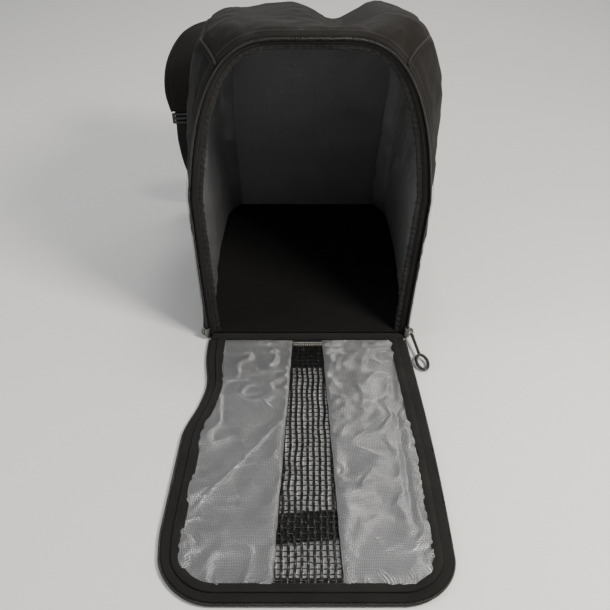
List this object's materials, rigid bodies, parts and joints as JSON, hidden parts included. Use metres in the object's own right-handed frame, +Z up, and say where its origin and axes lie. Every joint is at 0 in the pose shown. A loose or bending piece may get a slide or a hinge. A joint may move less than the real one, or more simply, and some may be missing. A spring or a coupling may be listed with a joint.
{
  "type": "ski boot bag",
  "caption": "Upright boot bag with a U-shaped zipped front flap folded open on the floor, mesh window, silver lining and two shoulder straps.",
  "frame": {"origin": "centre of the base panel's underside, where the bag rests on the floor", "axes": "+Z up; the bag opens towards -Y and the open flap lies along -Y; +X is to the right as seen from the front"},
  "size_m": [0.365, 0.8038, 0.3949],
  "materials": {
    "fabric": "woven polyester, matt",
    "lining": "laminated woven tarpaulin, silver",
    "binding": "woven binding tape",
    "tape": "woven zip tape",
    "coil": "nylon coil",
    "mesh": "coated open mesh, glossy",
    "metal": "dark plated",
    "rubber": "moulded, satin",
    "webbing": "padded nylon and webbing",
    "buckle": "moulded",
    "foam": "closed-cell foam"
  },
  "bodies": {
    "bag": {"side_panel_right": "fabric", "side_panel_left": "fabric", "top_panel": "fabric", "side_lining_right": "lining", "side_lining_left": "lining", "top_lining": "lining", "back_panel": "fabric", "back_lining": "lining", "base_panel": "fabric", "base_foam": "foam", "base_lining": "fabric", "zip_coil_body": "coil", "zip_tape_body": "tape", "opening_binding": "binding", "hinge_strip": "tape", "lower_anchor_left": "webbing", "lower_anchor_right": "webbing", "upper_anchor_patch": "webbing"},
    "flap": {"flap_outer_panel": "fabric", "zip_coil_flap": "coil", "zip_tape_flap": "tape", "flap_binding": "binding", "flap_mesh_window": "mesh", "mesh_backing_patch": "fabric", "mesh_cross_band": "fabric", "flap_lining_right": "lining", "flap_lining_left": "lining"},
    "slider_left": {"slider_left": "metal"},
    "slider_right": {"slider_right": "metal"},
    "puller_left": {"puller_left": "rubber"},
    "puller_right": {"puller_right": "rubber"},
    "strap_left": {"shoulder_strap_left": "webbing", "strap_webbing_left": "webbing", "strap_buckle_left": "buckle"},
    "strap_right": {"shoulder_strap_right": "webbing", "strap_webbing_right": "webbing", "strap_buckle_right": "buckle"},
    "handle": {"haul_handle": "webbing"}
  },
  "joints": [
    {"name": "flap_fold", "type": "hinge", "parent": "bag", "child": "flap", "pos_m": [0, -0.1783, 0.004], "axis": [-1, 0, 0], "range_deg": [0, 90]},
    {"name": "zip_left", "type": "slide", "parent": "bag", "child": "slider_left", "axis": [-0.0624, 0, 0.9981], "range_m": [0, 0.178]},
    {"name": "zip_right", "type": "slide", "parent": "bag", "child": "slider_right", "axis": [0.0624, 0, 0.9981], "range_m": [0, 0.178]},
    {"name": "pull_left", "type": "hinge", "parent": "slider_left", "child": "puller_left", "pos_m": [-0.13208, -0.1739, 0.01076], "axis": [0, 0, 1], "range_deg": [0, 150]},
    {"name": "pull_right", "type": "hinge", "parent": "slider_right", "child": "puller_right", "pos_m": [0.13208, -0.1739, 0.01076], "axis": [0, 0, 1], "range_deg": [0, 150]},
    {"name": "strap_swing_left", "type": "hinge", "parent": "bag", "child": "strap_left", "pos_m": [-0.055, 0.1874, 0.238], "axis": [-0.2888, -0.0302, -0.9569], "range_deg": [0, 35]},
    {"name": "strap_swing_right", "type": "hinge", "parent": "bag", "child": "strap_right", "pos_m": [0.055, 0.1874, 0.238], "axis": [0.0808, -0.0314, -0.9962], "range_deg": [0, 16]},
    {"name": "handle_fold", "type": "hinge", "parent": "bag", "child": "handle", "pos_m": [0, 0.1894, 0.252], "axis": [-1, 0, 0], "range_deg": [0, 120]}
  ]
}
